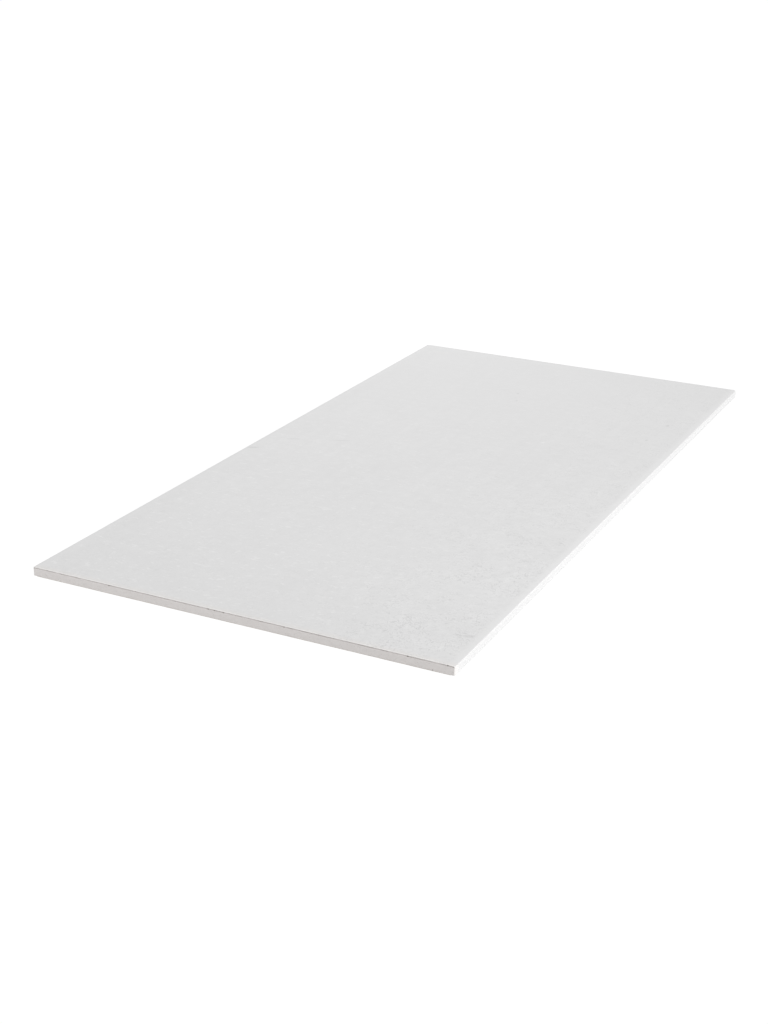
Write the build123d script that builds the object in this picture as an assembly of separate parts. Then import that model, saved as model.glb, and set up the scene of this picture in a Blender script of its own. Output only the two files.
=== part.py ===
from build123d import *
import os

# A drywall sheet: a foamed gypsum core cast between two papers. The face paper
# covers the top, wraps both long edges and folds under them, and the back paper
# is laid over the folds. Both ends are cut square through all three layers.
#
# X runs across the sheet, Y along it and Z up through its thickness, with the
# face upwards. The origin is the centre of the underside. Sizes are in mm.

# Whole sheet
sheet_length = 1200.0
sheet_width = 600.0
sheet_thickness = 12.5

# Papers
face_paper_thickness = 0.35
back_paper_thickness = 0.35
fold_width = 22.0  # face paper turned under the sheet, in from each long edge
back_paper_setback = 6.0  # edge of the back paper, in from each long edge

# Long edges: square, with the face easing down a little where the paper turns
shoulder_width = 10.0
shoulder_drop = 0.35
arris_radius = 1.2  # outside of the paper where it turns a corner


def wrapped_outline():
    """Outside of the face paper's wrap, seen from the end of the sheet."""
    edge = sheet_width / 2
    flat = edge - shoulder_width
    top = sheet_thickness
    edge_top = sheet_thickness - shoulder_drop
    underside = back_paper_thickness
    boundary = Curve() + [
        Line((-flat, top), (flat, top)),
        TangentArc((flat, top), (edge, edge_top), tangent=(1, 0)),
        Line((edge, edge_top), (edge, underside)),
        Line((edge, underside), (-edge, underside)),
        Line((-edge, underside), (-edge, edge_top)),
        TangentArc((-flat, top), (-edge, edge_top), tangent=(-1, 0)),
    ]
    outline = make_face(boundary)
    corners = outline.vertices().group_by(Axis.X)
    return fillet(corners[0] + corners[-1], radius=arris_radius)


def between_folds():
    """The strip of the underside that the face paper's two folds leave open."""
    strip = Rectangle(
        sheet_width - 2 * fold_width,
        face_paper_thickness,
        align=(Align.CENTER, Align.MIN),
    )
    return Pos(0, back_paper_thickness) * strip


def face_paper_section(outline, inside):
    """A thin wrap round the face and the long edges, open between its folds."""
    return outline - inside - between_folds()


def core_section(inside):
    """Gypsum filling the wrap, down to the back paper between the folds."""
    return inside + between_folds()


def back_paper_section():
    """A flat strip that overlaps both folds and stops short of the long edges."""
    return Rectangle(
        sheet_width - 2 * back_paper_setback,
        back_paper_thickness,
        align=(Align.CENTER, Align.MIN),
    )


def cut_to_length(section):
    """Runs a section along the sheet, half of the length each way."""
    return extrude(Plane.XZ * section, amount=sheet_length / 2, both=True)


outline = wrapped_outline()
inside = offset(outline, amount=-face_paper_thickness)

pieces = {
    "gypsum_core": cut_to_length(core_section(inside)),
    "face_paper": cut_to_length(face_paper_section(outline, inside)),
    "back_paper": cut_to_length(back_paper_section()),
}

os.makedirs("parts", exist_ok=True)
for name, piece in pieces.items():
    piece.label = name
    export_step(piece, f"parts/{name}.step")
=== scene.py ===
"""Dresses a drywall sheet: a foamed gypsum core, the face paper that wraps it and the back paper.

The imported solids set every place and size. Each of the three is replaced by a surface worked out on a
grid, with the relief that such a sheet has: soft dimples in the papers, and crumbs, air voids and a
worn groove along the papers where the core is cut. Shapes are in metres, and MM turns millimetres
into them. The finishes read places on the sheet in millimetres.
"""

import math

import bpy
import numpy as np
from bpy.props import FloatProperty, FloatVectorProperty, PointerProperty
from mathutils import Euler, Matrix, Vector


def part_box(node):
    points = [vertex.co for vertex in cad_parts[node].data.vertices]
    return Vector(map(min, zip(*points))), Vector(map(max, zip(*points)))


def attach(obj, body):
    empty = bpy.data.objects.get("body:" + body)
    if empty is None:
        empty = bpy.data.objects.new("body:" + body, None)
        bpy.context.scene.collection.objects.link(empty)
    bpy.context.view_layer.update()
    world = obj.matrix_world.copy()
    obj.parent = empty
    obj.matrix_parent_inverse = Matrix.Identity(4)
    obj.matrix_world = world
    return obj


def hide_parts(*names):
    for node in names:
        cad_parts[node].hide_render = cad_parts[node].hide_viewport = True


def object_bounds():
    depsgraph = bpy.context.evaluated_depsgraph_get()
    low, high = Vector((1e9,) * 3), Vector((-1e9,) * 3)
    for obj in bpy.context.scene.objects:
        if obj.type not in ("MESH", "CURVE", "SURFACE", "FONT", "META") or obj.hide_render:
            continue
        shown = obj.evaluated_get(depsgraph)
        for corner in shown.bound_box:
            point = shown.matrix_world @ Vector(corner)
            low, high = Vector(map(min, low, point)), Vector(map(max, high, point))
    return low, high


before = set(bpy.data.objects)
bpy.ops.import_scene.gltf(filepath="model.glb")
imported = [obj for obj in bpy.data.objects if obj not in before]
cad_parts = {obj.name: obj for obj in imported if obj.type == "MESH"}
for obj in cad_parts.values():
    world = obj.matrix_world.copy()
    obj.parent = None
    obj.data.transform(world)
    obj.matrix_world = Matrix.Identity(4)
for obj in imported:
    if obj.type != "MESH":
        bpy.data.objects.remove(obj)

bl_info = {
    "name": "Drywall sheet",
    "version": (1, 0, 0),
    "blender": (4, 5, 0),
    "location": "View3D > Sidebar > Drywall",
    "description": "Builds the papers, the gypsum core and the studio of a drywall sheet",
    "category": "Mesh",
}

MM = 0.001
BODY = "root"
CAD_LOW, CAD_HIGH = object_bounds()
SHEET_HALF_WIDTH, SHEET_HALF_LENGTH, SHEET_TOP = CAD_HIGH
CORE_LOW, CORE_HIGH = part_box("gypsum_core")
BACK_LOW, BACK_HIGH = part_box("back_paper")
FACE_PAPER_THICKNESS = SHEET_HALF_WIDTH - CORE_HIGH.x

# Steps of half of the face paper's profile: the flat face, the shoulder, the upper arris, the long
# edge, the lower arris and the fold.
PROFILE_STEPS = (112, 6, 7, 8, 6, 5)

# Columns of half of a cut end of the core: as far as the fold's lip, on to the arris, and round it.
CORE_COLUMNS = (696, 52, 7)
CORE_ROWS = 31

# Middle of the belt's first square, in millimetres from the middle of the face: x and y.
BELT_FIRST_SQUARE = (-289.95, -589.53)

# Marks on the face, in millimetres from its middle: x, y, half length, half width, turn in degrees,
# and how much lighter the paper is there.
MARKS = (
    (-30, 395, 3.4, 5.5, 0, -0.10),
    (-17, 357, 3.0, 5.0, 0, -0.08),
    (253, 352, 4.0, 7.0, 0, -0.13),
    (245, 265, 3.4, 5.5, 0, -0.11),
    (103, 175, 4.5, 6.0, 0, 0.07),
    (-254, 0, 19.0, 3.2, 27, -0.065),
    (-289, -65, 13.0, 5.0, 27, -0.10),
    (-182, 30, 22.0, 2.4, 27, -0.06),
    (282, -520, 11.0, 6.0, 20, -0.10),
    (-262, -358, 12.0, 5.0, 27, -0.025),
)

# Large voids torn open at the front end, in millimetres: x, height and radius.
TORN_VOIDS = (
    (-279, 4.6, 0.5),
    (-181, 10.7, 0.8),
    (-151, 1.2, 0.5),
    (-33, 11.0, 0.8),
    (-24, 11.2, 0.8),
    (-11, 11.1, 0.7),
    (74, 10.9, 0.8),
    (239, 11.1, 0.8),
    (271, 1.1, 0.6),
    (290, 11.2, 0.8),
)

# Soft lamps: the setting that holds the strength, the kind, the angle in degrees round from the
# right, and the angle up from level.
LAMPS = (
    ("side_key", "SUN", -15, 25),
    ("back_panel", "AREA", 120, 45),
    ("side_panel", "AREA", -15, 30),
    ("front_panel", "AREA", -110, 25),
)

# How far off the lamps hang and how wide a panel is, in metres, and how wide the sun is, in degrees.
LAMP_DISTANCE = 1.4
PANEL_SIZE = 1.0
SUN_SPREAD = 30

# The camera: its place in metres, and its turn in degrees.
CAMERA_PLACE = (0.9573, -2.1179, 0.8597)
CAMERA_TURN = (68.2721, -0.7328, 26.6218)

# The ground: half its width, how far it lies below the sheet, and how brightly the camera sees it.
GROUND_REACH = 30.0
GROUND_GAP = 0.3 * MM
GROUND_GLOW = 1.06


def length_property(name, description, default):
    """A size that a user may change, shown in the scene's unit of length."""
    return FloatProperty(
        name=name, description=description, default=default, min=0.0, unit="LENGTH", precision=5
    )


def share_property(name, description, default):
    """A plain number from nothing upwards."""
    return FloatProperty(name=name, description=description, default=default, min=0.0, precision=3)


def colour_property(name, description, default):
    """A colour in linear red, green and blue."""
    return FloatVectorProperty(
        name=name, description=description, default=default, min=0.0, max=1.0, subtype="COLOR"
    )


class FacePaperSettings(bpy.types.PropertyGroup):
    """Sizes and colours of the paper that covers the face and wraps the long edges."""

    fold_width: length_property("Fold", "Width turned under the sheet at each long edge", 22 * MM)
    shoulder_width: length_property("Shoulder", "Band at each long edge where the face eases down", 10 * MM)
    shoulder_drop: length_property("Shoulder drop", "How far the face has eased down at the edge", 0.35 * MM)
    arris_radius: length_property("Arris", "Outside radius where the paper turns a corner", 1.2 * MM)
    dimple_depth: length_property("Dimples", "Mean depth of the face's soft unevenness", 0.05 * MM)
    fray: length_property("Fray", "How unevenly the paper is cut at the ends", 0.12 * MM)
    colour: colour_property("Paper", "Colour of the outer ply", (0.7603, 0.7588, 0.7596))
    rim_colour: colour_property("Cut rim", "Colour of the face beside the front cut", (0.768, 0.755, 0.745))
    end_colour: colour_property("Edge's end", "Colour of the long edge beside that cut", (0.83, 0.812, 0.80))
    ply_colour: colour_property("Inner plies", "Colour of the cut edge of the paper", (0.80, 0.775, 0.76))
    crush: length_property("Crush", "How far the long edge is pressed in at the cut ends", 1.3 * MM)
    crush_reach: length_property("Crush reach", "Length of long edge that is pressed in", 2.4 * MM)
    belt_pitch: length_property("Belt pitch", "Spacing of the faint squares left by a belt", 25.06 * MM)
    belt_square: length_property("Belt square", "Width of one of those squares", 12.6 * MM)


class GypsumCoreSettings(bpy.types.PropertyGroup):
    """Sizes and colours of the cut ends of the gypsum core."""

    roughness_depth: length_property("Crumb", "Usual depth of the crumbs on a cut end", 0.05 * MM)
    void_spacing: length_property("Void spacing", "Width of the cell that holds one air void", 2.8 * MM)
    void_radius: length_property("Void radius", "Radius of the largest air void near the face", 0.57 * MM)
    groove_depth: length_property("Groove", "Greatest depth of the worn groove along a paper", 1.1 * MM)
    groove_width: length_property("Groove width", "Half the height of that groove", 0.6 * MM)
    clinging: length_property("Clinging", "Height of gypsum that still holds to the face paper", 1.2 * MM)
    colour: colour_property("Gypsum", "Colour of the cut gypsum", (0.734, 0.705, 0.692))
    # Painted shade: the colour towards which pinholes, voids and grooves are darkened.
    void_shade_colour: colour_property("Void", "Colour deep in an air void", (0.30, 0.275, 0.255))


class BackPaperSettings(bpy.types.PropertyGroup):
    """Sizes and colours of the paper on the underside."""

    unevenness: length_property("Unevenness", "Mean depth of the back's soft unevenness", 0.04 * MM)
    lap_groove: length_property("Lap", "Depth of the line where the fold's lip shows through", 0.08 * MM)
    colour: colour_property("Paper", "Colour of the recycled paper", (0.50, 0.455, 0.40))
    fibre_colour: colour_property("Fibres", "Colour of the darker fibres in it", (0.27, 0.235, 0.20))


class StudioSettings(bpy.types.PropertyGroup):
    """Light, ground and camera."""

    sky: share_property("Sky", "Strength of the even light from all round", 0.585)
    side_key: share_property("Side key", "Strength of the soft low light from the right", 1.342)
    back_panel: share_property("Back panel", "Power of the panel above the far left corner", 3.122)
    side_panel: share_property("Side panel", "Power of the panel over the right long edge", 3.635)
    front_panel: share_property("Front panel", "Power of the panel in front of the near left corner", 1.343)
    floor_shade: share_property("Shadow", "Share of the ground's own light and shadow that shows", 0.10)
    lens: share_property("Lens", "Focal length in millimetres on a 36 mm sensor", 56.912)


class Value:
    """A number, colour or direction that varies over a surface.

    Arithmetic on it adds the Math nodes that work the result out, in either order of the two sides.
    """

    def __init__(self, finish, socket):
        self.finish = finish
        self.socket = socket

    def maths(self, operation, first, second=0.0):
        return self.finish.node("ShaderNodeMath", {"operation": operation}, {0: first, 1: second})

    def __add__(self, other):
        return self.maths("ADD", self, other)

    def __radd__(self, other):
        return self.maths("ADD", other, self)

    def __sub__(self, other):
        return self.maths("SUBTRACT", self, other)

    def __rsub__(self, other):
        return self.maths("SUBTRACT", other, self)

    def __mul__(self, other):
        return self.maths("MULTIPLY", self, other)

    def __rmul__(self, other):
        return self.maths("MULTIPLY", other, self)

    def __abs__(self):
        return self.maths("ABSOLUTE", self)

    def most(self, other):
        return self.maths("MAXIMUM", self, other)

    def folded(self, reach):
        """Runs up to reach and back to nothing, again and again."""
        return self.maths("PINGPONG", self, reach)


class Finish:
    """The node tree of one material, and the calls that fill it."""

    def __init__(self, name):
        self.material = bpy.data.materials.new(name)
        self.material.use_nodes = True
        self.tree = self.material.node_tree
        self.tree.nodes.clear()

    def node(self, kind, settings=None, sockets=None, result=None):
        """Adds a node, sets its options, then its sockets by name or number, and returns an output."""
        made = self.tree.nodes.new(kind)
        for name, setting in (settings or {}).items():
            setattr(made, name, setting)
        for key, value in (sockets or {}).items():
            if isinstance(key, int):
                socket = made.inputs[key]
            else:
                socket = next(s for s in made.inputs if s.enabled and s.name == key)
            if isinstance(value, Value):
                self.tree.links.new(value.socket, socket)
            elif hasattr(value, "__len__") and len(socket.default_value) > len(value):
                socket.default_value = (*value, 1.0)
            else:
                socket.default_value = value
        shown = [s for s in made.outputs if s.enabled and result in (None, s.name)]
        return Value(self, shown[0]) if shown else None

    def place(self):
        """Where the surface is on the sheet, in millimetres."""
        metres = self.node("ShaderNodeTexCoord", result="Object")
        return self.node(
            "ShaderNodeVectorMath", {"operation": "SCALE"}, {"Vector": metres, "Scale": 1 / MM}
        )

    def axis(self, place, name):
        """One coordinate of a place, named X, Y or Z."""
        return self.node("ShaderNodeSeparateXYZ", None, {"Vector": place}, name)

    def stretched(self, place, across=1.0, along=1.0, up=1.0):
        """A place with its coordinates multiplied. A factor below one draws a pattern out that way."""
        return self.node(
            "ShaderNodeVectorMath", {"operation": "MULTIPLY"}, {0: place, 1: (across, along, up)}
        )

    def noise(self, place, size, detail=2.0, roughness=0.5, twist=0.0):
        """Smooth noise from -1 to 1 with features about size millimetres wide."""
        raw = self.node(
            "ShaderNodeTexNoise",
            None,
            {
                "Vector": place,
                "Scale": 1 / size,
                "Detail": detail,
                "Roughness": roughness,
                "Distortion": twist,
            },
            "Fac",
        )
        return raw * 2.0 - 1.0

    def spots(self, place, size, feature="Distance"):
        """Distance to the nearest of many scattered points, or that point's own random colour."""
        return self.node("ShaderNodeTexVoronoi", None, {"Vector": place, "Scale": 1 / size}, feature)

    def pores(self, place, size, ragged):
        """One in the middle of scattered pores of unlike sizes, the widest about half of size across.

        Ragged is a noise that makes their outlines uneven.
        """
        chance = self.axis(self.spots(place, size, "Color"), "X")
        radius = chance * chance * 0.27 + ragged * 0.11
        return self.rise(self.spots(place, size) - radius, 0.05, -0.05)

    def mark(self, place, x, y, half_length, half_width, turn):
        """One in the middle of an oval mark, and nothing outside it."""
        within = self.node(
            "ShaderNodeMapping",
            {"vector_type": "TEXTURE"},
            {
                "Vector": place,
                "Location": (x, y, 0.0),
                "Rotation": (0.0, 0.0, math.radians(turn)),
                "Scale": (half_length, half_width, 1000.0),
            },
        )
        length = self.node("ShaderNodeVectorMath", {"operation": "LENGTH"}, {0: within}, "Value")
        return self.rise(length, 1.0, 0.2)

    def rise(self, value, low, high):
        """Nothing below low, one above high and an even curve between, falling where low is larger."""
        return self.node(
            "ShaderNodeMapRange",
            {"interpolation_type": "SMOOTHSTEP", "clamp": True},
            {"Value": value, "From Min": low, "From Max": high},
            "Result",
        )

    def blend(self, share, first, second):
        """The first colour where share is nothing, and the second where it is one."""
        return self.node(
            "ShaderNodeMix",
            {"data_type": "RGBA", "clamp_factor": True},
            {"Factor": share, "A": first, "B": second},
        )

    def brightened(self, colour, amount):
        """A colour made lighter or darker by a share of itself."""
        return self.node(
            "ShaderNodeVectorMath", {"operation": "SCALE"}, {"Vector": colour, "Scale": amount + 1.0}
        )

    def bumped(self, height):
        """Shading normal of a relief whose height is in millimetres."""
        return self.node("ShaderNodeBump", None, {"Height": height, "Distance": MM, "Strength": 1.0})

    def attribute(self, name):
        """A number that the mesh carries."""
        return self.node("ShaderNodeAttribute", {"attribute_name": name}, None, "Fac")

    def surface(self, sockets):
        """Ends the tree in one shader with the given sockets, and returns the material."""
        shader = self.node("ShaderNodeBsdfPrincipled", None, sockets)
        self.node("ShaderNodeOutputMaterial", None, {"Surface": shader})
        return self.material


def soft_noise(seed, size, across, along, spacing):
    """Smooth random relief on a grid, with unit spread and features about size wide.

    White noise on an even grid is passed through a bell-shaped filter in frequency, centred on one
    over twice the size, because a wave is a rise and a hollow. It is then read at each place between
    the four nearest grid points in proportion.
    """
    low_across, low_along = across.min() - spacing, along.min() - spacing
    columns = int((across.max() - low_across) / spacing) + 3
    rows = int((along.max() - low_along) / spacing) + 3
    white = np.random.default_rng(seed).standard_normal((rows, columns))
    frequency = np.hypot(np.fft.fftfreq(rows)[:, None], np.fft.rfftfreq(columns)[None, :]) / spacing
    bell = np.exp(-((frequency * size - 0.5) ** 2) / 0.18)
    field = np.fft.irfft2(np.fft.rfft2(white) * bell, white.shape)
    field = (field - field.mean()) / field.std()
    column, row = (across - low_across) / spacing, (along - low_along) / spacing
    left, front = column.astype(int), row.astype(int)
    column, row = column - left, (row - front)[:, None]
    nearer = field[front][:, left] * (1 - column) + field[front][:, left + 1] * column
    farther = field[front + 1][:, left] * (1 - column) + field[front + 1][:, left + 1] * column
    return nearer * (1 - row) + farther * row


def run(start, end, steps, normal):
    """Places along a straight run, without its end, as rows of x, z and the outward normal."""
    share = np.arange(steps)[:, None] / steps
    places = np.array(start) * (1 - share) + np.array(end) * share
    return np.hstack([places, np.tile(normal, (steps, 1))])


def arc(centre, radius, first, last, steps):
    """Places round an arc, without its end. The angle is measured from straight up, clockwise."""
    angle = first + (last - first) * np.arange(steps) / steps
    normal = np.stack([np.sin(angle), np.cos(angle)], axis=1)
    return np.hstack([np.array(centre) + radius * normal, normal])


def shoulder_arc(paper):
    """The arc by which the face eases down to the upper arris.

    It starts level, would fall by the shoulder's drop over its width, and runs smoothly into the
    arris. Returns its radius, the angle where they meet and the height of the arris's centre.
    """
    radius, width, drop = paper.arris_radius, paper.shoulder_width, paper.shoulder_drop
    shoulder_radius = (width**2 + drop**2) / (2 * drop)
    turn = math.asin((width - radius) / (shoulder_radius - radius))
    arris_height = SHEET_TOP - shoulder_radius + (shoulder_radius - radius) * math.cos(turn)
    return shoulder_radius, turn, arris_height


def wrap_profile(paper):
    """Outside of the face paper, seen from the front, from the lip of one fold to the other's.

    From the middle of the face outwards: a flat run, the shoulder's arc, the upper arris, the long
    edge, the lower arris and the fold. The other half is its mirror image. Returns x, z, the
    normal's x and z, and the length walked from the middle of the face.
    """
    edge, top, under = SHEET_HALF_WIDTH, SHEET_TOP, BACK_HIGH.z
    flat, lip = edge - paper.shoulder_width, edge - paper.fold_width
    radius = paper.arris_radius
    shoulder_radius, turn, arris_height = shoulder_arc(paper)
    on_face, on_shoulder, on_upper, on_edge, on_lower, on_fold = PROFILE_STEPS
    up, right, down = (0.0, 1.0), (1.0, 0.0), (0.0, -1.0)
    half = np.vstack(
        [
            run((0.0, top), (flat, top), on_face, up),
            arc((flat, top - shoulder_radius), shoulder_radius, 0.0, turn, on_shoulder),
            arc((edge - radius, arris_height), radius, turn, math.pi / 2, on_upper),
            run((edge, arris_height), (edge, under + radius), on_edge, right),
            arc((edge - radius, under + radius), radius, math.pi / 2, math.pi, on_lower),
            run((edge - radius, under), (lip, under), on_fold, down),
            [[lip, under, *down]],
        ]
    )
    walked = np.append(0.0, np.cumsum(np.hypot(*np.diff(half[:, :2], axis=0).T)))
    other = half[:0:-1] * np.array([-1.0, 1.0, -1.0, 1.0])
    whole = np.vstack([other, half])
    return *whole.T, np.append(-walked[:0:-1], walked)


def rows_along(rim, rim_rows, rows):
    """Rows from end to end of the sheet, even but for a rim's width at each end.

    In the rim they crowd towards the cut, by the power 2.2 of their number.
    """
    even = np.linspace(-SHEET_HALF_LENGTH + rim, SHEET_HALF_LENGTH - rim, rows)
    from_cut = rim * (np.arange(rim_rows) / rim_rows) ** 2.2
    return np.concatenate([-SHEET_HALF_LENGTH + from_cut, even, (SHEET_HALF_LENGTH - from_cut)[::-1]])


def grid_faces(rows, columns, first=0):
    """Four corners of every cell of a grid whose points are numbered row by row."""
    corner = first + np.arange(rows - 1)[:, None] * columns + np.arange(columns - 1)[None, :]
    return np.stack([corner, corner + 1, corner + columns + 1, corner + columns], axis=-1).reshape(-1, 4)


def strip_faces(one_side, other_side):
    """Cells between two rows of points, given by their numbers."""
    return np.stack([one_side[:-1], one_side[1:], other_side[1:], other_side[:-1]], axis=1)


def put_piece(name, points, faces, material, node):
    """Makes a piece of the sheet from arrays of points and faces, in place of a CAD node."""
    mesh = bpy.data.meshes.new(name)
    mesh.from_pydata(points.reshape(-1, 3), [], faces)
    mesh.shade_smooth()
    mesh.set_sharp_from_angle(angle=math.radians(35))
    mesh.materials.append(material)
    piece = bpy.data.objects.new(name, mesh)
    bpy.context.scene.collection.objects.link(piece)
    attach(piece, BODY)
    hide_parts(node)
    return piece


def carry(piece, name, domain, numbers):
    """Gives each point or face of a piece a number that its material reads."""
    piece.data.attributes.new(name, "FLOAT", domain).data.foreach_set("value", numbers)


def belt_squares(finish, paper, x, y):
    """One in the squares that a belt has left all over the face, and nothing between them."""
    squares = 1.0
    half = paper.belt_square / MM / 2
    for across, first in zip((x, y), BELT_FIRST_SQUARE):
        from_middle = (across - first).folded(paper.belt_pitch / MM / 2)
        squares = finish.rise(from_middle, half + 0.8, half - 0.8) * squares
    return squares


def single_marks(finish, place):
    """How much lighter the paper is at the single marks."""
    lighter = 0.0
    for *oval, strength in MARKS:
        lighter = finish.mark(place, *oval) * strength + lighter
    return lighter


def handling_wear(finish, place, y, grain, worn):
    """Creases and chips, stronger to the front, and the pale ridges beside the creases.

    A crease runs where a noise passes through nothing, and its ridge a little beside that. Both
    come in patches. Returns the creases with the chips, and the ridges. Both shape the relief, and the
    finish also paints shade into the creases and a highlight onto the ridges.
    """
    patch = finish.rise(finish.noise(place, 30.0, detail=3.0, roughness=0.7), -0.35, 0.40)
    wrinkle = abs(finish.noise(place, 9.0, detail=3.0, roughness=0.6, twist=0.3))
    crease = finish.rise(wrinkle, 0.07, 0.01) * patch
    ridge_relief_and_highlight = finish.rise(abs(wrinkle - 0.12), 0.05, 0.01) * patch * worn
    chip = finish.pores(finish.stretched(place, across=0.8), 6.5, grain)
    stronger = finish.rise(y, 200.0, -600.0) * 0.5 + 0.5
    return (crease + chip * 0.7) * worn * stronger, ridge_relief_and_highlight


def arris_painted_highlight(finish, place, y, from_side, from_top):
    """One in the broken painted highlight along the upper arris, which is gone towards the back."""
    along = finish.stretched(place, across=0.0, up=0.0)
    highlight_dashes = finish.rise(finish.noise(along, 16.0), -0.1, 0.1)
    on_arris = finish.rise(from_side, 1.6, 0.8) * finish.rise(from_top, 2.6, 1.8)
    return highlight_dashes * on_arris * finish.rise(y, 300.0, 0.0)


def long_edge_tone_and_painted_light(finish, y, z, mottle):
    """How much lighter the long edge is: painted light makes it paler to the back, there is a paler stripe,
    and painted shade makes a darker foot.
    """
    # Painted shade makes the darker foot, and painted light makes the edge paler towards the back.
    stripe_and_painted_foot_shade = finish.rise(abs(z - 5.5), 2.4, 0.8) * 0.035 - finish.rise(z, 3.4, 1.8) * 0.05
    return finish.rise(y, 50.0, 400.0) * (stripe_and_painted_foot_shade + 0.03) + mottle * 0.010


def face_paper_finish(paper):
    """Pale matt liner: cloudy formation, pale flecks, and creases and chips that thicken to the right.

    Broad blots show in the middle and where the paper is worn, and a belt has left a faint pattern
    of squares. The bands beside the long edges are plain. Beside the front cut the paper is warmer,
    and its very rim is paler. Painted light and shade are laid into the colour as well: shade in the
    creases and a highlight on the ridges beside them, light on the shoulders, shade towards the front
    and towards the right in the middle, light along the long edge towards the back, shade at its foot,
    and a broken highlight along the upper arris.
    """
    finish = Finish("face_paper")
    place = finish.place()
    x, y, z = (finish.axis(place, name) for name in "XYZ")
    from_side = SHEET_HALF_WIDTH / MM - abs(x)
    from_front = y + SHEET_HALF_LENGTH / MM
    from_top = SHEET_TOP / MM - z
    on_face = finish.rise(from_top, 0.9, 0.2)
    off_face = 1.0 - on_face
    textured = on_face * (finish.rise(from_side, 6.0, 14.0) * 0.85 + 0.15)
    cloud = finish.noise(place, 90.0)
    mottle = finish.noise(place, 20.0, detail=5.0, roughness=0.8)
    grain = finish.noise(finish.stretched(place, along=0.7), 5.0, detail=3.0, roughness=0.8)
    fibre = finish.noise(finish.stretched(place, along=0.35), 0.7, roughness=0.7)
    blot = finish.noise(finish.stretched(place, along=0.8), 28.0)
    # How worn the paper is, which grows to the right, and how near it is to the front and the middle.
    worn = finish.rise(x + cloud * 160.0, 20.0, 250.0) * 0.75 + 0.25
    near = finish.rise(y, 500.0, -500.0) * 0.6 + 0.4
    middle = finish.rise(abs(y + 30.0), 440.0, 120.0)
    fleck = finish.noise(finish.stretched(place, across=0.6, along=1.1), 5.0, detail=1.0)
    fleck = finish.rise(fleck, 0.26, 0.42) * near * (1.6 - worn)
    crease_relief_and_shade, ridge_relief_and_highlight = handling_wear(finish, place, y, grain, worn)
    tone = (mottle + grain) * (worn * near * 0.040 + near * 0.026)
    # Painted shade darkens the creases and a painted highlight lightens the ridges beside them; the same
    # masks also shape the relief below.
    tone = tone + fleck * 0.042 + ridge_relief_and_highlight * near * 0.065 - crease_relief_and_shade * 0.135
    # Painted shade: the middle of the face is darker to the right and lighter to the left.
    painted_shade_to_right = x * middle * 0.00005
    tone = tone + blot * (middle * 0.015 + worn * 0.013) - painted_shade_to_right
    tone = tone + belt_squares(finish, paper, x, y) * (middle * 0.004 + 0.005)
    tone = tone * textured + single_marks(finish, place) * on_face
    tone = tone + cloud * 0.010 + fibre * 0.010
    # Painted light on the shoulders beside the long edges, and painted shade on the face towards the front
    # cut.
    shoulder = finish.rise(from_side, 13.0, 6.0)
    painted_shade_to_front = finish.rise(from_front, 250.0, 0.0)
    tone = tone + (shoulder * 0.022 - painted_shade_to_front * 0.020) * on_face
    # Painted light and shade on the long edge: paler towards the back, darker at its foot.
    tone = tone + long_edge_tone_and_painted_light(finish, y, z, mottle) * off_face
    # Painted highlight in broken dashes along the upper arris.
    tone = tone + arris_painted_highlight(finish, place, y, from_side, from_top) * 0.028
    tone = tone + finish.rise(from_front, 2.4, 1.2) * on_face * 0.10
    beside_cut = finish.rise(from_front - mottle * 3.0, 12.0, 3.0)
    colour = finish.blend(beside_cut * on_face, tuple(paper.colour), tuple(paper.rim_colour))
    colour = finish.blend(beside_cut * off_face, colour, tuple(paper.end_colour))
    colour = finish.brightened(colour, tone)
    ply = finish.brightened(tuple(paper.ply_colour), fibre * 0.12)
    colour = finish.blend(finish.attribute("cut_ply"), colour, ply)
    relief = fleck * 0.03 + ridge_relief_and_highlight * 0.02 - crease_relief_and_shade * 0.08 + mottle * 0.03 + grain * worn * 0.03
    height = relief * (textured * 0.97 + 0.03) + fibre * (on_face * 0.003 + 0.001)
    return finish.surface(
        {
            "Base Color": colour,
            "Roughness": 0.78 + mottle * 0.05 + fibre * 0.04,
            "Specular IOR Level": 0.35,
            "Normal": finish.bumped(height),
        }
    )


def gypsum_finish(core):
    """Dry warm grey gypsum: cloudy, granular and pricked with pinholes, with painted shade darkening the
    pinholes, the air voids and the worn grooves.
    """
    finish = Finish("gypsum_core")
    place = finish.place()
    cloud = finish.noise(place, 22.0)
    grain = finish.noise(place, 0.8, detail=3.0, roughness=0.7)
    crumb = finish.noise(place, 3.0, roughness=0.6)
    ragged = finish.noise(place, 0.45, roughness=0.7)
    pinhole = finish.pores(place, 1.5, ragged).most(finish.pores(place, 0.6, ragged) * 0.6)
    # Painted shade: the pinholes, and the voids and grooves that the mesh's number marks, darken towards the
    # void shade colour.
    depth = finish.rise(finish.attribute("void_depth"), 0.1 * MM, 0.55 * MM)
    dark = (pinhole * 0.4).most(depth)
    colour = finish.blend(dark, tuple(core.colour), tuple(core.void_shade_colour))
    colour = finish.brightened(colour, cloud * 0.02 + crumb * 0.03 + grain * 0.03)
    height = grain * 0.03 + crumb * 0.03 - pinhole * 0.12
    return finish.surface(
        {
            "Base Color": colour,
            "Roughness": 0.93 + grain * 0.04,
            "Specular IOR Level": 0.2,
            "Normal": finish.bumped(height),
        }
    )


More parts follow.
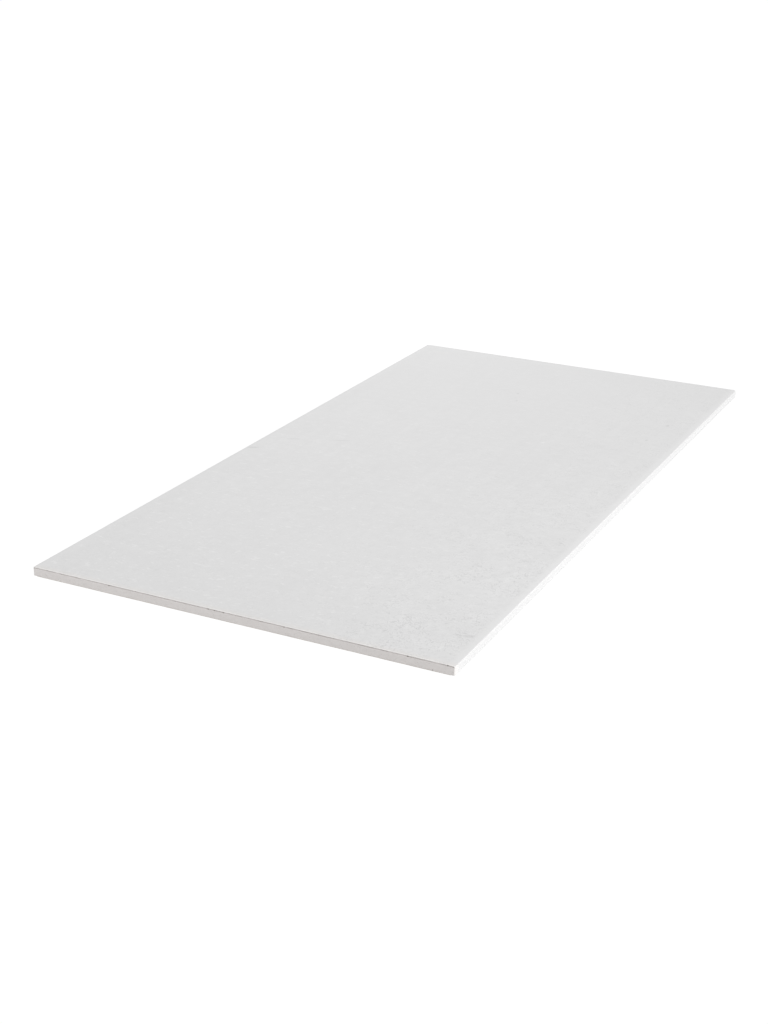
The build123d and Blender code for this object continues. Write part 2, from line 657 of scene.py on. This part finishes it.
def back_paper_finish(back, lip):
    """Grey-brown recycled liner: fibres laid along the sheet, and dark and pale specks.

    It is a little paler over the folds, which begin at the lip.
    """
    finish = Finish("back_paper")
    place = finish.place()
    x = finish.axis(place, "X")
    along = finish.stretched(place, along=0.16)
    cloud = finish.noise(place, 45.0, detail=3.0)
    streak = finish.noise(along, 2.2, detail=3.0, roughness=0.6)
    fibre = finish.noise(along, 0.6, roughness=0.7, twist=0.5)
    speck = finish.rise(finish.noise(place, 1.8, detail=1.0), 0.32, 0.50)
    pale = finish.noise(finish.stretched(place, across=1.3, along=0.5), 2.4, detail=1.0)
    pale = finish.rise(pale, 0.32, 0.50)
    lap = finish.rise(abs(x) - lip / MM + finish.noise(place, 30.0) * 0.6, -1.0, 1.0)
    dark = speck * 0.55 + finish.rise(fibre, 0.1, 0.9) * 0.3
    colour = finish.blend(dark, tuple(back.colour), tuple(back.fibre_colour))
    tone = cloud * 0.10 + streak * 0.14 + pale * 0.18 + lap * 0.05
    height = streak * 0.012 + fibre * 0.01 + cloud * 0.03
    return finish.surface(
        {
            "Base Color": finish.brightened(colour, tone),
            "Roughness": 0.86 + streak * 0.05,
            "Specular IOR Level": 0.3,
            "Normal": finish.bumped(height),
        }
    )


def face_dimples(paper, walked, y, normal_z):
    """How deep the face is dimpled: the mean depth times one plus two sizes of smooth noise.

    The dimples fade out at the cut ends, which stand up as a burr, and the folds have none.
    """
    broad = soft_noise(11, 34 * MM, walked, y, 2 * MM)
    close = soft_noise(12, 11 * MM, walked, y, 2 * MM)
    depth = paper.dimple_depth * (1.0 + 0.45 * broad + 0.28 * close)
    from_end = SHEET_HALF_LENGTH - np.abs(y)
    depth = depth * (1 - np.exp(-((from_end / (1.5 * MM)) ** 2)))[:, None]
    return np.clip(depth, 0, FACE_PAPER_THICKNESS / 2) * (normal_z > -0.5)


def pressed_edges(paper, x, y):
    """How far each long edge is pressed in beside the cuts, by the square of how near the cut is.

    It takes the outer 12 mm of the face along, in proportion.
    """
    nearness = np.clip(1 - (SHEET_HALF_LENGTH - np.abs(y)) / paper.crush_reach, 0, None)
    beside_edge = np.clip((np.abs(x) - SHEET_HALF_WIDTH) / (12 * MM) + 1, 0, 1) * np.sign(x)
    return (paper.crush * nearness**2)[:, None] * beside_edge


def frayed_rims(paper, walked):
    """How far the paper falls short of the cut, at the front and at the back."""
    noise = soft_noise(13, 3 * MM, walked, np.array([-1.0, 1.0]), 1 * MM)
    return np.clip(paper.fray * (0.5 + 0.22 * noise), 0, paper.fray)


class DRYWALL_OT_face_paper(bpy.types.Operator):
    """Makes the face paper: one thin sheet over the face, round both long edges and under them"""

    bl_idname = "drywall.face_paper"
    bl_label = "Face paper"

    def execute(self, context):
        """The wrap's profile is carried along the sheet and sunk along its normal by the dimples.

        The inside is the same profile set in by the paper's thickness. It has rows near the ends
        only, and between them it is drawn out straight, because the core hides it.
        """
        paper = context.scene.drywall_face_paper
        x, z, normal_x, normal_z, walked = wrap_profile(paper)
        rim_rows = 8
        y = rows_along(rim=8 * MM, rim_rows=rim_rows, rows=304)
        rows, columns = len(y), len(x)
        depth = face_dimples(paper, walked, y, normal_z)
        pressed = pressed_edges(paper, x, y)
        frayed = frayed_rims(paper, walked)
        outside = np.empty((rows, columns, 3))
        outside[..., 0] = x - depth * normal_x - pressed
        outside[..., 1] = y[:, None]
        outside[..., 2] = z - depth * normal_z
        outside[0, :, 1] += frayed[0]
        outside[-1, :, 1] -= frayed[1]
        kept = np.r_[0 : rim_rows + 1, rows - rim_rows - 1 : rows]
        inside = outside[kept]
        inside[..., 0] = x - FACE_PAPER_THICKNESS * normal_x - pressed[kept]
        inside[..., 2] = z - FACE_PAPER_THICKNESS * normal_z
        points = np.concatenate([outside.reshape(-1, 3), inside.reshape(-1, 3)])
        number = np.arange(rows * columns).reshape(rows, columns)
        inner = rows * columns + np.arange(len(kept) * columns).reshape(len(kept), columns)
        skin = grid_faces(rows, columns)
        hidden = grid_faces(len(kept), columns, rows * columns)[:, ::-1]
        cuts = np.vstack([strip_faces(inner[0], number[0]), strip_faces(number[-1], inner[-1])])
        lips = [
            [*number[:, 0], *inner[::-1, 0]],
            [*number[::-1, -1], *inner[:, -1]],
        ]
        faces = [*np.vstack([skin, hidden, cuts]).tolist(), *lips]
        piece = put_piece("face_paper_wrap", points, faces, face_paper_finish(paper), "face_paper")
        cut_ply = np.zeros(len(faces))
        cut_ply[len(skin) + len(hidden) : -len(lips)] = 1.0
        carry(piece, "cut_ply", "FACE", cut_ply)
        return {"FINISHED"}


def core_columns(paper):
    """Places across a cut end of the core, with its lowest and highest point at each.

    The core fills the wrap, so its top follows the inside of the face, shoulder and arris, and its
    underside steps up by the paper's thickness where the fold begins.
    """
    edge, under = SHEET_HALF_WIDTH, BACK_HIGH.z
    flat, lip = edge - paper.shoulder_width, edge - paper.fold_width
    radius = paper.arris_radius
    shoulder_radius, turn, arris_height = shoulder_arc(paper)
    inner_radius = radius - FACE_PAPER_THICKNESS
    inner_shoulder = shoulder_radius - FACE_PAPER_THICKNESS
    meet = flat + inner_shoulder * math.sin(turn)
    to_lip, to_arris, round_arris = CORE_COLUMNS
    x = np.concatenate(
        [
            np.linspace(0, lip, to_lip),
            np.linspace(lip + 0.001 * MM, edge - radius, to_arris)[:-1],
            edge - radius + inner_radius * np.sin(np.linspace(0, math.pi / 2, round_arris)),
        ]
    )
    shoulder = np.sqrt(inner_shoulder**2 - np.clip(x - flat, 0, None) ** 2) + SHEET_TOP - shoulder_radius
    round_part = np.clip(inner_radius**2 - np.clip(x - (edge - radius), 0, None) ** 2, 0, None)
    round_part = np.sqrt(round_part)
    high = np.where(x < meet, shoulder, arris_height + round_part)
    low = np.where(x <= lip, under, under + radius - round_part)
    return (
        np.concatenate([-x[:0:-1], x]),
        np.concatenate([low[:0:-1], low]),
        np.concatenate([high[:0:-1], high]),
    )


def air_voids(seed, spacing, largest, across, up, share):
    """Depth of round air voids cut open by a plane, on a grid of places.

    The plane is divided into square cells, and each holds one void with a random centre and radius.
    A place takes the deepest of the voids of its own cell and the eight round it, each of which is
    the sphere's depth there: the root of radius squared less distance squared. Share scales the
    radius from place to place.
    """
    chance = np.random.default_rng(seed)
    across = np.broadcast_to(across, up.shape)
    column, row = np.floor(across / spacing).astype(int), np.floor(up / spacing).astype(int)
    column, row = column - column.min() + 1, row - row.min() + 1
    shape = (row.max() + 3, column.max() + 3)
    shift_across, shift_up = chance.random(shape), chance.random(shape)
    radius = largest * chance.random(shape) ** 2.2
    near_across = across / spacing - (np.floor(across / spacing) - column)
    near_up = up / spacing - (np.floor(up / spacing) - row)
    depth = np.zeros(across.shape)
    for by_row in (-1, 0, 1):
        for by_column in (-1, 0, 1):
            there = (row + by_row, column + by_column)
            gap_across = near_across - (column + by_column) - shift_across[there]
            gap_up = near_up - (row + by_row) - shift_up[there]
            gap = spacing * np.hypot(gap_across, gap_up)
            depth = np.maximum(depth, np.sqrt(np.clip((radius[there] * share) ** 2 - gap**2, 0, None)))
    return depth


def cut_end_depth(paper, core, seed, torn, x, height, low, high):
    """How far each place of a cut end is worn back.

    Two sizes of smooth noise make the crumbs. Air voids are spheres cut open, up to half as large
    again near the face, and the torn ones are added to them. A groove with a bell-shaped section
    follows each paper, about two thirds of its greatest depth under the face paper and only slight
    over the back paper. Beside the long edges the end curves back to stay inside the pressed paper.
    Returns the depth, and the part of it that the finish darkens as painted shade.
    """
    flat_height = np.linspace(CORE_LOW.z, CORE_HIGH.z, len(height))
    spacing = 0.4 * MM
    crumb = soft_noise(seed, 1.3 * MM, x, flat_height, spacing)
    lump = soft_noise(seed + 1, 6 * MM, x, flat_height, spacing)
    wear = soft_noise(seed + 2, 9 * MM, x, flat_height, spacing)
    near_face = np.exp(-(((high - height) / (1.6 * MM)) ** 2))
    share = (2 + near_face) / 3
    voids = air_voids(seed + 3, core.void_spacing, core.void_radius, x, height, share)
    for void_x, void_height, radius in torn:
        gap = np.hypot(x - void_x * MM, height - void_height * MM)
        voids = np.maximum(voids, np.sqrt(np.clip((radius * MM) ** 2 - gap**2, 0, None)))
    under_face = np.exp(-(((high - height - core.clinging) / core.groove_width) ** 2))
    over_back = np.exp(-(((height - low) / core.groove_width) ** 2))
    groove = core.groove_depth * (under_face + 0.06 * over_back)
    groove = groove * np.clip(0.64 + 0.06 * wear, 0.3, 1)
    crumbs = core.roughness_depth * np.clip(1.2 + 0.5 * crumb + 0.45 * lump, 0, None)
    inward = np.clip((CORE_HIGH.x - np.abs(x)) / paper.crush, 0, 1)
    pressed = paper.crush_reach * (1 - np.sqrt(inward))
    return crumbs + groove + voids + pressed, voids + 0.5 * groove


class DRYWALL_OT_gypsum_core(bpy.types.Operator):
    """Makes the gypsum core, with crumbs, air voids and worn grooves on its two cut ends"""

    bl_idname = "drywall.gypsum_core"
    bl_label = "Gypsum core"

    def execute(self, context):
        """Each end is a grid between the core's underside and its top, and long strips join them."""
        paper, core = context.scene.drywall_face_paper, context.scene.drywall_gypsum_core
        x, low, high = core_columns(paper)
        height = low + (high - low) * np.linspace(0, 1, CORE_ROWS)[:, None]
        ends, void_shade_depths = [], []
        for seed, side, torn in ((21, -1, TORN_VOIDS), (31, 1, ())):
            depth, voids = cut_end_depth(paper, core, seed, torn, x, height, low, high)
            y = side * (SHEET_HALF_LENGTH - depth)
            ends.append(np.stack([np.broadcast_to(x, height.shape), y, height], axis=-1))
            void_shade_depths.append(voids)
        rows, columns = height.shape
        front = grid_faces(rows, columns)
        back = grid_faces(rows, columns, rows * columns)[:, ::-1]
        number = np.arange(rows * columns).reshape(rows, columns)
        rim = np.concatenate([number[0], number[1:, -1], number[-1, -2::-1], number[-2::-1, 0]])
        walls = strip_faces(rim, rim + rows * columns)[:, ::-1]
        points = np.concatenate([end.reshape(-1, 3) for end in ends])
        faces = np.vstack([front, back, walls]).tolist()
        piece = put_piece("gypsum_core_board", points, faces, gypsum_finish(core), "gypsum_core")
        # Depth of the voids and grooves, which the finish paints as shade.
        carry(piece, "void_depth", "POINT", np.concatenate(void_shade_depths, axis=None))
        return {"FINISHED"}


class DRYWALL_OT_back_paper(bpy.types.Operator):
    """Makes the back paper: a flat sheet over the two folds of the face paper"""

    bl_idname = "drywall.back_paper"
    bl_label = "Back paper"

    def execute(self, context):
        """The underside is a grid, raised by smooth noise and by a shallow line over each fold's lip.

        Its two sides are carried straight up, and its top is one strip from side to side.
        """
        paper, back = context.scene.drywall_face_paper, context.scene.drywall_back_paper
        half = BACK_HIGH.x
        lip = SHEET_HALF_WIDTH - paper.fold_width
        beside_lip = lip + np.linspace(-3, 3, 9) * MM
        middle = np.linspace(0, lip - 6 * MM, 68)
        outer = np.linspace(lip + 6 * MM, half, 5)
        right = np.concatenate([middle, beside_lip, outer])
        x = np.concatenate([-right[:0:-1], right])
        y = rows_along(rim=6 * MM, rim_rows=5, rows=300)
        rows = len(y)
        broad = soft_noise(41, 60 * MM, x, y, 3 * MM)
        close = soft_noise(42, 16 * MM, x, y, 3 * MM)
        lift = back.unevenness * np.clip(1 + 0.5 * broad + 0.25 * close, 0, None)
        lift = lift + back.lap_groove * np.exp(-(((np.abs(x) - lip) / (1.2 * MM)) ** 2))
        lift = lift * (1 - np.exp(-(((half - np.abs(x)) / (2 * MM)) ** 2)))
        lift = np.clip(lift, 0, BACK_HIGH.z / 2)
        profile = np.concatenate([[x[0]], x, [x[-1]]])
        columns = len(profile)
        points = np.empty((rows, columns, 3))
        points[..., 0] = profile
        points[..., 1] = y[:, None]
        points[..., 2] = BACK_HIGH.z
        points[:, 1:-1, 2] = BACK_LOW.z + lift
        number = np.arange(rows * columns).reshape(rows, columns)
        skin = grid_faces(rows, columns)[:, ::-1]
        top = strip_faces(number[:, 0], number[:, -1])[:, ::-1]
        cuts = [number[0].tolist(), number[-1, ::-1].tolist()]
        faces = [*np.vstack([skin, top]).tolist(), *cuts]
        put_piece("back_paper_sheet", points, faces, back_paper_finish(back, lip), "back_paper")
        return {"FINISHED"}


def ground_finish(studio):
    """White to the camera and in reflections, a pale diffuser to other light, and faintly shaded."""
    finish = Finish("ground")
    seen = finish.node("ShaderNodeLightPath", None, None, "Is Camera Ray")
    for kind in ("Is Glossy Ray", "Is Transmission Ray"):
        seen = seen.most(finish.node("ShaderNodeLightPath", None, None, kind))
    lit = finish.node("ShaderNodeBsdfDiffuse", None, {"Color": (0.8, 0.8, 0.8)})
    white = finish.node("ShaderNodeEmission", None, {"Color": (1.0, 1.0, 1.0), "Strength": GROUND_GLOW})
    share = seen * (1.0 - studio.floor_shade)
    shader = finish.node("ShaderNodeMixShader", None, {0: share, 1: lit, 2: white})
    finish.node("ShaderNodeOutputMaterial", None, {"Surface": shader})
    return finish.material


def sky(studio):
    """Even light from all round, which the camera sees as white."""
    world = bpy.data.worlds.new("studio")
    world.use_nodes = True
    nodes, links = world.node_tree.nodes, world.node_tree.links
    background = nodes["Background"]
    background.inputs["Color"].default_value = (1.0, 1.0, 1.0, 1.0)
    path = nodes.new("ShaderNodeLightPath")
    strength = nodes.new("ShaderNodeMapRange")
    strength.inputs["To Min"].default_value = studio.sky
    strength.inputs["To Max"].default_value = 1.0
    links.new(path.outputs["Is Camera Ray"], strength.inputs["Value"])
    links.new(strength.outputs["Result"], background.inputs["Strength"])
    bpy.context.scene.world = world


def hang_lamp(name, kind, strength, azimuth, elevation):
    """Hangs a soft lamp at two angles in degrees, pointing at the middle of the sheet."""
    lamp = bpy.data.lights.new(name, kind)
    lamp.energy = strength
    if kind == "SUN":
        lamp.angle = math.radians(SUN_SPREAD)
    else:
        lamp.size = PANEL_SIZE
    turn, lift = math.radians(azimuth), math.radians(elevation)
    away = Vector((math.cos(turn) * math.cos(lift), math.sin(turn) * math.cos(lift), math.sin(lift)))
    hung = bpy.data.objects.new(name, lamp)
    hung.location = away * LAMP_DISTANCE
    hung.rotation_euler = away.to_track_quat("Z", "Y").to_euler()
    hung.visible_camera = False
    bpy.context.scene.collection.objects.link(hung)


class DRYWALL_OT_studio(bpy.types.Operator):
    """Makes the ground, the light and the camera"""

    bl_idname = "drywall.studio"
    bl_label = "Studio"

    def execute(self, context):
        """The ground is one square face, just below the sheet."""
        studio = context.scene.drywall_studio
        mesh = bpy.data.meshes.new("ground")
        corners = GROUND_REACH * np.array([[-1, -1, 0], [1, -1, 0], [1, 1, 0], [-1, 1, 0]])
        corners[:, 2] = CAD_LOW.z - GROUND_GAP
        mesh.from_pydata(corners, [], [[0, 1, 2, 3]])
        mesh.materials.append(ground_finish(studio))
        ground = bpy.data.objects.new("ground", mesh)
        context.scene.collection.objects.link(ground)
        sky(studio)
        for name, kind, azimuth, elevation in LAMPS:
            hang_lamp(name, kind, getattr(studio, name), azimuth, elevation)
        lens = bpy.data.cameras.new("camera")
        lens.lens = studio.lens
        camera = bpy.data.objects.new("camera", lens)
        camera.location = CAMERA_PLACE
        camera.rotation_euler = Euler([math.radians(turn) for turn in CAMERA_TURN])
        context.scene.collection.objects.link(camera)
        context.scene.camera = camera
        context.scene.view_settings.view_transform = "Standard"
        return {"FINISHED"}


class DRYWALL_PT_panel(bpy.types.Panel):
    """Lists the steps that build the sheet and the sizes and colours that they use"""

    bl_idname = "DRYWALL_PT_panel"
    bl_label = "Drywall sheet"
    bl_space_type = "VIEW_3D"
    bl_region_type = "UI"
    bl_category = "Drywall"

    def draw(self, context):
        for operator, group in STEPS:
            box = self.layout.box()
            box.operator(operator.bl_idname)
            settings = getattr(context.scene, group)
            for name in settings.__annotations__:
                box.prop(settings, name)


STEPS = (
    (DRYWALL_OT_face_paper, "drywall_face_paper"),
    (DRYWALL_OT_gypsum_core, "drywall_gypsum_core"),
    (DRYWALL_OT_back_paper, "drywall_back_paper"),
    (DRYWALL_OT_studio, "drywall_studio"),
)
SETTINGS = {
    "drywall_face_paper": FacePaperSettings,
    "drywall_gypsum_core": GypsumCoreSettings,
    "drywall_back_paper": BackPaperSettings,
    "drywall_studio": StudioSettings,
}
CLASSES = (*SETTINGS.values(), *(operator for operator, group in STEPS), DRYWALL_PT_panel)


def register():
    for kind in CLASSES:
        bpy.utils.register_class(kind)
    for name, kind in SETTINGS.items():
        setattr(bpy.types.Scene, name, PointerProperty(type=kind))


def unregister():
    for name in SETTINGS:
        delattr(bpy.types.Scene, name)
    for kind in reversed(CLASSES):
        bpy.utils.unregister_class(kind)


def main():
    """Builds every piece and the studio."""
    register()
    bpy.ops.drywall.face_paper()
    bpy.ops.drywall.gypsum_core()
    bpy.ops.drywall.back_paper()
    bpy.ops.drywall.studio()


if __name__ == "__main__":
    main()
